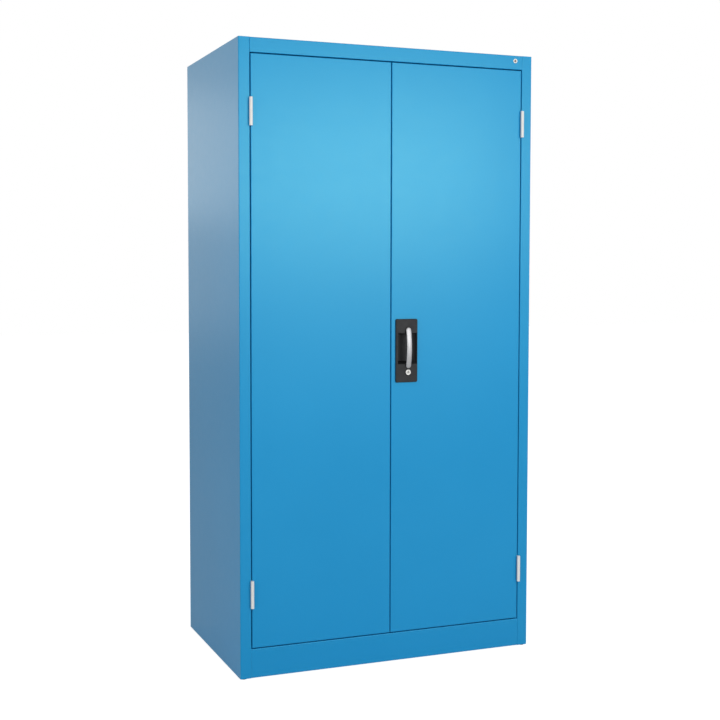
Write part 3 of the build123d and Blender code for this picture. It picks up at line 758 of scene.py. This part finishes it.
@dataclass
class PaintedSeams(SubAssembly):
    """Painted seams between the door posts and the ends of the header and the plinth."""

    sheet: float = 0.0015
    bend: float = 0.0025
    lap: float = 0.0001
    filled: float = 0.00004
    header_groove: float = 0.0007
    plinth_groove: float = 0.003
    steps: int = 6

    def build(self) -> None:
        """Fills the left seams flush with the posts and leaves a groove in the right ones."""
        low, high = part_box("plinth")
        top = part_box("roof_panel")[1].z
        disc_low, disc_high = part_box("header_disc")
        under = disc_low.z + disc_high.z - top
        for hand, end in ((Hand.LEFT, low.x), (Hand.RIGHT, high.x)):
            left = hand is Hand.LEFT
            width = SEAM + self.bend if left else SEAM
            groove = self.filled if left else self.header_groove
            header = self.header_outline(low.y + groove, under, top - self.filled)
            self.strip(f"header_seam_{hand.value}", header, end, width)
            groove = self.filled if left else self.plinth_groove
            plinth = self.plinth_outline(low.y + groove, low.z + self.filled, high.z - self.filled)
            self.strip(f"plinth_seam_{hand.value}", plinth, end, width)

    def strip(self, name: str, outline: Curve, end: float, width: float) -> None:
        """Extrudes one seam between a sheet's end and the post.

        Args:
            name: The piece's name.
            outline: Its outline in Y and Z.
            end: Where the sheet ends.
            width: The seam's width.
        """
        way = 1 if end > 0 else -1
        places = (end - way * self.lap, end + way * (width + self.lap))
        rings = [[Vector((x, y, z)) for y, z in outline] for x in places]
        self.add(piece_from(lofted(name, rings)), "cabinet", BODY_PAINT)

    def corner(self, y: float, z: float, start: float) -> list[tuple[float, float]]:
        """Points of a bend's quarter turn around its centre, from an angle off the back."""
        turn = [radians(start + 90 * i / self.steps) for i in range(self.steps + 1)]
        return [(y + self.bend * cos(a), z + self.bend * sin(a)) for a in turn]

    def header_outline(self, front: float, low: float, top: float) -> list[tuple[float, float]]:
        """Outline of the header's sheet with its upper bend.

        Args:
            front: Front face.
            low: Lower end.
            top: Upper face.

        Returns:
            The outline's points in Y and Z.
        """
        inner = front + self.sheet
        back = front + 2 * self.bend
        bend = reversed(self.corner(front + self.bend, top - self.bend, 90))
        inside = [(inner, low), (inner, top - self.bend)]
        return [(back, top - self.sheet), (back, top), *bend, (front, low), *inside]

    def plinth_outline(self, front: float, low: float, top: float) -> list[tuple[float, float]]:
        """Outline of the plinth's sheet with its upper and lower bends.

        Args:
            front: Front face.
            low: Lower face.
            top: Upper face.

        Returns:
            The outline's points in Y and Z.
        """
        inner = front + self.sheet
        back = front + 2 * self.bend
        upper = self.corner(front + self.bend, top - self.bend, 90)
        lower = self.corner(front + self.bend, low + self.bend, 180)
        inside = [(back, low + self.sheet), (inner, low + self.bend), (inner, top - self.bend)]
        return [(back, top - self.sheet), (back, top), *upper, *lower, (back, low), *inside]


@dataclass
class LevellingGlides(SubAssembly):
    """Four round glides with a rounded rim and a stud."""

    foot_height: float = 0.006
    rim: float = 0.0012
    lower_rim: Curve = ((0.0, 1.4), (0.3, 0.5), (1.0, 0.0))
    upper_rim: Curve = ((1.0, 0.0), (0.3, 0.4), (0.0, 1.0))
    stud_radius: float = 0.0039
    count: int = 40

    def build(self) -> None:
        """Turns the four glides."""
        turned_glides = []
        for low, high in loose_boxes("levelling_glides"):
            radius = (high.x - low.x) / 2
            centre = Vector(((low.x + high.x) / 2, (low.y + high.y) / 2, low.z))
            rim, foot, top = self.rim, self.foot_height, high.z - low.z
            profile = [(rim * up, radius - rim * off) for up, off in self.lower_rim]
            profile += [(foot - rim * up, radius - rim * off) for up, off in self.upper_rim]
            stud = ((foot, 0.0), (top - rim, 0.0), (top, rim))
            profile += [(up, self.stud_radius - off) for up, off in stud]
            turned_glides.append(turned("glide", centre, Axis.UP, profile, self.count))
        feet = piece_from(merged("glide_feet", turned_glides))
        self.add(feet, "cabinet", GLIDE_PLASTIC, "levelling_glides")


@dataclass
class DoorBuffers(SubAssembly):
    """Round rubber buffers with a domed end, on the door stops."""

    straight_share: float = 0.5
    flat_share: float = 0.55
    count: int = 32

    def build(self) -> None:
        """Turns the buffers."""
        domes = []
        for low, high in loose_boxes("door_buffers"):
            radius = (high.x - low.x) / 2
            reach = high.y - low.y
            centre = Vector(((low.x + high.x) / 2, high.y, (low.z + high.z) / 2))
            straight = reach * self.straight_share
            dome = domed(-straight, straight - reach, radius, radius * self.flat_share)
            domes.append(turned("buffer", centre, Axis.BACK, [(0.0, radius), *dome], self.count))
        buffers = piece_from(merged("stop_buffers", domes))
        self.add(buffers, "cabinet", BUFFER_RUBBER, "door_buffers")


@dataclass
class HeaderDisc(SubAssembly):
    """Plain turned disc on the header: a raised rim around a blank inlay."""

    rim: float = 0.0034
    sunk: float = 0.0005
    hole_share: float = 0.03
    rim_curve: Curve = ((0.0, 0.0), (0.5, 0.0), (0.85, 0.15), (1.0, 0.4), (1.0, 0.7), (0.85, 0.95))
    inlay_curve: Curve = ((1.2, 0.99), (0.75, 0.96), (0.55, 0.8), (0.45, 0.4), (0.42, 0.03))
    count: int = 64

    def build(self) -> None:
        """Turns the rim and its inlay."""
        low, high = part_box("header_disc")
        centre = (low + high) / 2
        centre.y = high.y
        radius = (high.x - low.x) / 2
        inside = radius - self.rim
        face = low.y - high.y
        bed = face + self.sunk
        rim = [(face * out, radius - self.rim * off) for out, off in self.rim_curve]
        rim += [(bed, inside), (bed, inside * self.hole_share)]
        ring = piece_from(turned("header_disc_turned", centre, Axis.BACK, rim, self.count))
        self.add(ring, "cabinet", DISC_METAL, "header_disc")
        crown = [(face + self.sunk * down, inside * share) for down, share in self.inlay_curve]
        inlay = piece_from(turned("header_disc_inlay", centre, Axis.BACK, crown, self.count))
        self.add(inlay, "cabinet", DISC_INLAY)


@dataclass
class DoorHinges(SubAssembly):
    """Barrel hinges of one door: lower knuckles on the post, upper knuckles on the door."""

    hand: Hand = Hand.LEFT
    rounding: float = 0.0006

    def build(self) -> None:
        """Rounds the knuckles of both halves."""
        side = self.hand.value
        halves = (("frame", "post", "cabinet"), ("door", "door", f"{side}_door_leaf"))
        for part, carrier, body in halves:
            name = f"{carrier}_knuckles_{side}"
            self.soften(f"{part}_hinges_{side}", name, body, HINGE_GREY, self.rounding)


@dataclass
class SpotWelds(SubAssembly):
    """Shallow weld marks, raised around a dent, down the flanges of a stiffener or rail."""

    node: str = "left_stiffener"
    body: str = "left_door_leaf"
    weld_line: float = 0.0054
    sheet: float = 0.0012
    pitch: float = 0.075
    radius: float = 0.003
    rise: float = 0.00022
    section: Curve = ((-0.5, 1.0), (0.9, 0.86), (1.0, 0.62), (0.45, 0.3))
    count: int = 14

    def build(self) -> None:
        """Builds the rows of weld marks."""
        low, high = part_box(self.node)
        face = low.y + self.sheet
        profile = [(self.rise * lift, self.radius * share) for lift, share in self.section]
        steps = int((high.z - low.z - self.pitch) / self.pitch)
        start = (low.z + high.z - steps * self.pitch) / 2
        marks = []
        for x in (low.x + self.weld_line, high.x - self.weld_line):
            for step in range(steps + 1):
                place = Vector((x, face, start + step * self.pitch))
                marks.append(turned("weld_mark", place, Axis.BACK, profile, self.count))
        rows = piece_from(merged(f"{self.node}_weld_marks", marks))
        self.add(rows, self.body, DOOR_PAINT)


@dataclass
class LeftDoor(SubAssembly):
    """Left door leaf with its stiffener and the tongue's keeper."""

    def build(self) -> None:
        """Dresses the leaf's sheets."""
        self.dress("left_door", "left_stiffener", "tongue_keeper")


@dataclass
class RightDoor(SubAssembly):
    """Right door leaf with its stiffener, rod rails and riveted rod guides."""

    guide_rounding: float = 0.0005
    foot: float = 0.007
    foot_height: float = 0.002
    rivet_radius: float = 0.0024
    rivet_rise: float = 0.0011
    count: int = 24

    def build(self) -> None:
        """Dresses the leaf's sheets, rounds the guides and rivets them on."""
        self.dress("right_door", "right_stiffener", "upper_rail", "lower_rail")
        body = "right_door_leaf"
        self.soften("rod_guides", "rod_saddles", body, GUIDE_PLASTIC, self.guide_rounding)
        places = [place for box in loose_boxes("rod_guides") for place in self.rivet_places(box)]
        heads = [self.rivet(place) for place in places]
        self.add(piece_from(merged("guide_rivets", heads)), body, ZINC_STEEL)

    def rivet_places(self, box: Box) -> list[Vector]:
        """Centres of the rivets on the two feet of a guide.

        Args:
            box: The guide's box.

        Returns:
            The two places.
        """
        low, high = box
        face = low.y + self.foot_height
        middle = (low.z + high.z) / 2
        return [Vector((x, face, middle)) for x in (low.x + self.foot / 2, high.x - self.foot / 2)]

    def rivet(self, place: Vector) -> bpy.types.Mesh:
        """Turns the domed head of one rivet.

        Args:
            place: Its centre on the foot.

        Returns:
            The head's mesh.
        """
        shank = (-self.foot_height / 2, self.rivet_radius)
        profile = [shank, *domed(0.0, self.rivet_rise, self.rivet_radius)]
        return turned("rivet", place, Axis.BACK, profile, self.count)


@dataclass
class HandlePlate(SubAssembly):
    """Moulded handle plate whose finger recess has a sloping foot."""

    rounding: float = 0.0006
    recess_left: float = 0.0072
    recess_right: float = 0.0028
    recess_bottom: float = 0.058
    recess_height: float = 0.0984
    slope_rise: float = 0.009
    slope_curve: Curve = ((0.0, 0.0), (0.4, 0.06), (0.7, 0.3), (1.0, 1.0))
    lip: float = 0.0006
    clearance: float = 0.01
    steps: int = 36

    def build(self) -> None:
        """Rounds the plate's edges and lays the slope in the recess."""
        body = "right_door_leaf"
        self.soften("handle_plate", "recessed_handle_plate", body, PLATE_PLASTIC, self.rounding)
        self.add(piece_from(lofted("recess_slope", self.slope_rings())), body, PLATE_PLASTIC)

    def slope_rings(self) -> list[list[Vector]]:
        """Sections of the slope, as deep as the recess is at each place.

        Returns:
            One ring for each section, from left to right.
        """
        low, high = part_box("handle_plate")
        shape = cad_shape("handle_plate")
        tree = BVHTree.FromBMesh(shape)
        shape.free()
        foot = low.z + self.recess_bottom
        middle = foot + self.recess_height / 2
        left, right = low.x + self.recess_left, high.x - self.recess_right
        front = low.y + self.lip
        rings = []
        for i in range(self.steps + 1):
            x = left + (right - left) * i / self.steps
            hit = tree.ray_cast(Vector((x, low.y - self.clearance, middle)), Axis.BACK.value)[0]
            depth = max(hit.y - front, self.lip) + self.lip
            rise = min(self.slope_rise, depth)
            points = [(depth * back, rise * up) for back, up in self.slope_curve]
            points += [(depth, -self.lip), (0.0, -self.lip)]
            rings.append([Vector((x, front + back, foot + up)) for back, up in points])
        return rings


@dataclass
class BowHandle(SubAssembly):
    """Arched strap with rounded ends, on a round collar and hub."""

    thickness: float = 0.004
    rise: float = 0.0085
    collar_radius: float = 0.007
    collar_slope: float = 0.001
    collar_rounding: float = 0.0004
    collar_sink: float = 0.6
    hub_radius: float = 0.0048
    hub_end: float = 0.0001
    tip_width: float = 0.02
    tip_depth: float = 0.45
    sections: int = 56
    points: int = 40
    squareness: float = 2.05
    low: Vector = field(init=False)
    high: Vector = field(init=False)

    def build(self) -> None:
        """Builds the strap with its hub."""
        self.low, self.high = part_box("bow_handle")
        for mesh in (lofted("bow_strap", self.rings()), self.hub()):
            self.add(piece_from(mesh), "bow_and_pinion", BOW_METAL, "bow_handle")

    def half_width(self) -> float:
        """Half the strap's width."""
        return (self.high.x - self.low.x) / 2

    def arch(self, z: float) -> float:
        """How far the strap's outer face stands behind its foremost point.

        Args:
            z: Height on the strap.

        Returns:
            The distance.
        """
        half = (self.high.z - self.low.z) / 2
        radius = (half**2 + self.rise**2) / (2 * self.rise)
        off = z - (self.low.z + self.high.z) / 2
        return radius - sqrt(radius**2 - off**2)

    def rings(self) -> list[list[Vector]]:
        """Rings around the strap: a quarter of them on each round end, and half between.

        Returns:
            The rings from the lower to the upper end.
        """
        end = self.half_width()
        quarter = self.sections // 4
        turns = [pi / 2 * i / quarter for i in range(1, quarter)]
        offsets = [(end * (1 - cos(turn)), sin(turn)) for turn in turns]
        span = self.high.z - self.low.z - 2 * end
        straight = [self.low.z + end + span * i / (2 * quarter) for i in range(2 * quarter + 1)]
        rings = [self.ring(self.low.z + offset, share) for offset, share in offsets]
        rings += [self.ring(z, 1.0) for z in straight]
        rings += [self.ring(self.high.z - offset, share) for offset, share in reversed(offsets)]
        return rings

    def ring(self, z: float, share: float) -> list[Vector]:
        """One rounded section of the strap.

        Args:
            z: Its height.
            share: Its width as a share of the full width.

        Returns:
            Points around the section.
        """
        half = self.half_width() * max(share, self.tip_width)
        deep = self.thickness / 2 * (self.tip_depth + (1 - self.tip_depth) * share)
        middle_x = (self.low.x + self.high.x) / 2
        middle = self.low.y + self.arch(z) + self.thickness / 2
        power = 2 / self.squareness
        ring = []
        for i in range(self.points):
            turn = 2 * pi * i / self.points
            across, depth = (copysign(abs(way) ** power, way) for way in (cos(turn), sin(turn)))
            ring.append(Vector((middle_x + half * across, middle + deep * depth, z)))
        return ring

    def hub(self) -> bpy.types.Mesh:
        """Turns the collar and hub behind the strap's upper end.

        Returns:
            Their mesh.
        """
        top = self.high.z - self.half_width()
        face = self.low.y + self.arch(top) + self.thickness * self.collar_sink
        flat = self.low.y + self.rise + self.thickness
        profile = [
            (face, self.collar_radius - self.collar_slope),
            (flat - self.collar_rounding, self.collar_radius),
            (flat, self.collar_radius - self.collar_rounding),
            (flat, self.hub_radius),
            (self.high.y, self.hub_radius),
            (self.high.y, self.hub_end),
        ]
        centre = Vector(((self.low.x + self.high.x) / 2, 0.0, top))
        return turned("bow_hub", centre, Axis.BACK, profile, self.points)


@dataclass
class KeyCylinder(SubAssembly):
    """Key cylinder with its turning plug, nut and cam."""

    rounding: float = 0.0004
    plug_rounding: float = 0.0002

    def build(self) -> None:
        """Rounds the housing and the plug, and dresses the rest."""
        body = "right_door_leaf"
        self.soften("cylinder_housing", "cylinder_sleeve", body, LOCK_NICKEL, self.rounding)
        # The plug's face carries painted shade for its keyway.
        self.soften("cylinder_plug", "key_barrel", "key_plug", PLUG_NICKEL_PAINTED_SHADE, self.plug_rounding)
        self.dress("cylinder_nut", "lock_cam", "cam_screw")


@dataclass
class RodLock(SubAssembly):
    """Lock case, pinion, two rods and the centre tongue."""

    rounding: float = 0.0004

    def build(self) -> None:
        """Rounds the case screws and dresses the rest of the lock."""
        self.soften("case_screws", "hexagon_screws", "right_door_leaf", ZINC_STEEL, self.rounding)
        self.dress("lock_base", "lock_cover", "spindle", "spindle_clip", "drive_pinion")
        self.dress("upper_rod", "lower_rod", "centre_tongue")


@dataclass
class Shelving(SubAssembly):
    """Slotted uprights, shelves and their clips."""

    shelves: int = 4

    def build(self) -> None:
        """Dresses the uprights, shelves and clips."""
        for side in Hand:
            self.dress(f"upright_front_{side.value}", f"upright_rear_{side.value}")
        for number in range(1, self.shelves + 1):
            self.dress(f"shelf_{number}", f"shelf_clips_{number}")


# Studio and camera


@dataclass
class Softbox:
    """Large rectangular studio lamp."""

    name: str
    place: Point
    aim: Point
    width: float
    height: float
    power: float

    def build(self) -> None:
        """Hangs the lamp and points it."""
        lamp = bpy.data.lights.new(self.name, "AREA")
        lamp.shape = "RECTANGLE"
        lamp.size = self.width
        lamp.size_y = self.height
        lamp.energy = self.power
        holder = bpy.data.objects.new(self.name, lamp)
        holder.location = self.place
        way = Vector(self.aim) - Vector(self.place)
        holder.rotation_euler = way.to_track_quat("-Z", "Y").to_euler()
        holder.visible_camera = False
        bpy.context.scene.collection.objects.link(holder)


@dataclass
class Studio:
    """White floor and surroundings with soft lamps."""

    floor_size: float = 40.0
    floor_white: float = 0.72
    floor_glow: float = 0.78
    mirrored_glow: float = 0.2
    surroundings: float = 0.43
    lamps: list[Softbox] = field(
        default_factory=lambda: [
            # name, place, aim, width, height and power in watts
            Softbox("front_softbox", (1.26, -3.7, 1.87), (0.0, -0.3, 1.5), 1.9, 0.95, 56.0),
            Softbox("low_softbox", (1.26, -3.7, 0.9), (0.0, -0.3, 0.9), 2.0, 0.9, 6.0),
            Softbox("high_softbox", (-1.2, -3.3, 2.4), (0.0, -0.3, 1.2), 2.6, 2.0, 19.5),
            Softbox("side_softbox", (-1.57, 3.71, 1.98), (-0.5, 0.0, 1.6), 1.6, 0.8, 3.0),
            Softbox("left_softbox", (-3.6, -2.2, 1.3), (-0.3, 0.0, 1.0), 1.6, 2.0, 25.0),
        ]
    )

    def build(self) -> None:
        """Lays the floor, lights the surroundings and hangs the lamps."""
        self.lay_floor()
        self.light_world()
        for lamp in self.lamps:
            lamp.build()

    def lay_floor(self) -> None:
        """Lays a pale floor that is white to the camera and keeps a soft shadow."""
        half = self.floor_size / 2
        places = ((-half, -half), (half, -half), (half, half), (-half, half))
        corners = [Vector((x, y, 0.0)) for x, y in places]
        floor = piece_from(mesh_of("studio_floor", corners, [(0, 1, 2, 3)]))
        material = bpy.data.materials.new("studio_white")
        material.use_nodes = True
        nodes, links = material.node_tree.nodes, material.node_tree.links
        nodes.clear()
        matt = nodes.new("ShaderNodeBsdfDiffuse")
        matt.inputs["Color"].default_value = (self.floor_white,) * 3 + (1.0,)
        glow = nodes.new("ShaderNodeEmission")
        glow.inputs["Color"].default_value = WHITE
        both = nodes.new("ShaderNodeAddShader")
        output = nodes.new("ShaderNodeOutputMaterial")
        strength = self.seen(material.node_tree, self.floor_glow, self.mirrored_glow)
        links.new(strength, glow.inputs["Strength"])
        links.new(matt.outputs["BSDF"], both.inputs[0])
        links.new(glow.outputs["Emission"], both.inputs[1])
        links.new(both.outputs["Shader"], output.inputs["Surface"])
        floor.data.materials.append(material)

    def seen(self, tree: bpy.types.NodeTree, direct: float = 1.0, mirrored: float = 1.0) -> Socket:
        """Tells whether a ray is seen directly, in a mirror or through glass.

        Args:
            tree: The node tree that asks.
            direct: What a ray seen directly gives.
            mirrored: What a ray seen in a mirror or through glass gives.

        Returns:
            The larger of the two for such a ray, and otherwise 0.
        """
        path = tree.nodes.new("ShaderNodeLightPath")
        rays = {"Is Camera Ray": direct, "Is Glossy Ray": mirrored, "Is Transmission Ray": mirrored}
        found = None
        for kind, strength in rays.items():
            share = tree.nodes.new("ShaderNodeMath")
            share.operation = "MULTIPLY"
            share.inputs[1].default_value = strength
            tree.links.new(path.outputs[kind], share.inputs[0])
            if found is None:
                found = share.outputs["Value"]
                continue
            either = tree.nodes.new("ShaderNodeMath")
            either.operation = "MAXIMUM"
            tree.links.new(found, either.inputs[0])
            tree.links.new(share.outputs["Value"], either.inputs[1])
            found = either.outputs["Value"]
        return found

    def light_world(self) -> None:
        """Surrounds the cabinet with soft light, white where it is seen."""
        world = bpy.data.worlds.new("studio_surroundings")
        bpy.context.scene.world = world
        world.use_nodes = True
        nodes, links = world.node_tree.nodes, world.node_tree.links
        nodes.clear()
        soft = nodes.new("ShaderNodeBackground")
        soft.inputs["Color"].default_value = WHITE
        soft.inputs["Strength"].default_value = self.surroundings
        white = nodes.new("ShaderNodeBackground")
        white.inputs["Color"].default_value = WHITE
        white.inputs["Strength"].default_value = 1.0
        mix = nodes.new("ShaderNodeMixShader")
        output = nodes.new("ShaderNodeOutputWorld")
        links.new(self.seen(world.node_tree), mix.inputs["Fac"])
        links.new(soft.outputs["Background"], mix.inputs[1])
        links.new(white.outputs["Background"], mix.inputs[2])
        links.new(mix.outputs["Shader"], output.inputs["Surface"])


@dataclass
class Viewpoint:
    """Camera with a little shift, which keeps the uprights nearly parallel."""

    place: Point = (-1.573, -3.809, 1.252)
    pitch: float = -3.08
    yaw: float = -20.99
    lens: float = 60.84
    sensor: float = 36.0
    shift_x: float = 0.05
    shift_y: float = -0.033
    reach: float = 100.0

    def build(self) -> None:
        """Sets the camera up."""
        data = bpy.data.cameras.new("studio_camera")
        data.sensor_width = self.sensor
        data.lens = self.lens
        data.shift_x = self.shift_x
        data.shift_y = self.shift_y
        data.clip_end = self.reach
        camera = bpy.data.objects.new("studio_camera", data)
        camera.location = self.place
        camera.rotation_euler = Euler((radians(90.0 + self.pitch), 0.0, radians(self.yaw)), "XYZ")
        bpy.context.scene.collection.objects.link(camera)
        bpy.context.scene.camera = camera


def sub_assemblies() -> Iterable[SubAssembly]:
    """The cabinet's sub-assemblies in building order.

    Returns:
        The sub-assemblies, not yet built.
    """
    return (
        CabinetBody(),
        PaintedSeams(),
        LevellingGlides(),
        DoorBuffers(),
        HeaderDisc(),
        DoorHinges(hand=Hand.LEFT),
        DoorHinges(hand=Hand.RIGHT),
        LeftDoor(),
        RightDoor(),
        SpotWelds(node="left_stiffener", body="left_door_leaf"),
        SpotWelds(node="right_stiffener", body="right_door_leaf"),
        SpotWelds(node="upper_rail", body="right_door_leaf"),
        SpotWelds(node="lower_rail", body="right_door_leaf"),
        HandlePlate(),
        BowHandle(),
        KeyCylinder(),
        RodLock(),
        Shelving(),
    )


def main() -> None:
    """Builds and reports the cabinet, the studio and the camera."""
    logging.basicConfig(level=logging.INFO, format="%(name)s: %(message)s")
    Viewpoint().build()
    for assembly in sub_assemblies():
        assembly.build()
        for piece in assembly.made:
            log.info("%s: %s", type(assembly).__name__, piece.name)
    Studio().build()
    bpy.context.scene.view_settings.view_transform = "Standard"


if __name__ == "__main__":
    main()
